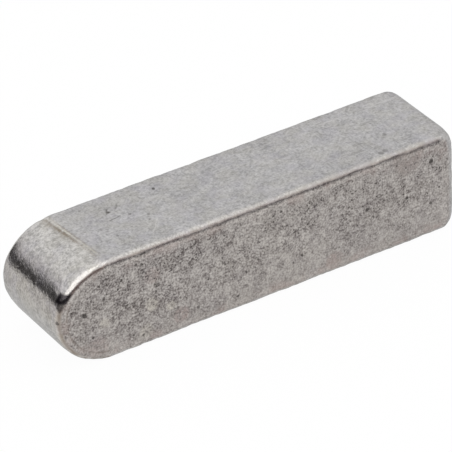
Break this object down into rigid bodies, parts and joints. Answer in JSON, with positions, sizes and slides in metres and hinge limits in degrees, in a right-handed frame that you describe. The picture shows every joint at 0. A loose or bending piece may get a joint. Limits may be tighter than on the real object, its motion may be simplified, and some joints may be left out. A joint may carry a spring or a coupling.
{
  "type": "parallel key",
  "caption": "Plain steel parallel key of square section with a half-round end and a square end, for keying a hub to its shaft.",
  "frame": {"origin": "middle of the key's bounding box in plan, on the flank that it lies on", "axes": "+X along the key from the half-round end to the square end, +Y from one of the two faces that show the half-round outline to the other, +Z across the key's width, from the flank that it lies on to the other flank"},
  "size_m": [0.025, 0.006, 0.006],
  "materials": {
    "steel": "cold-drawn bright steel, tumbled to a dull satin grey, with fine pits and scuffs"
  },
  "bodies": {
    "root": {"parallel_key": "steel"}
  },
  "joints": []
}
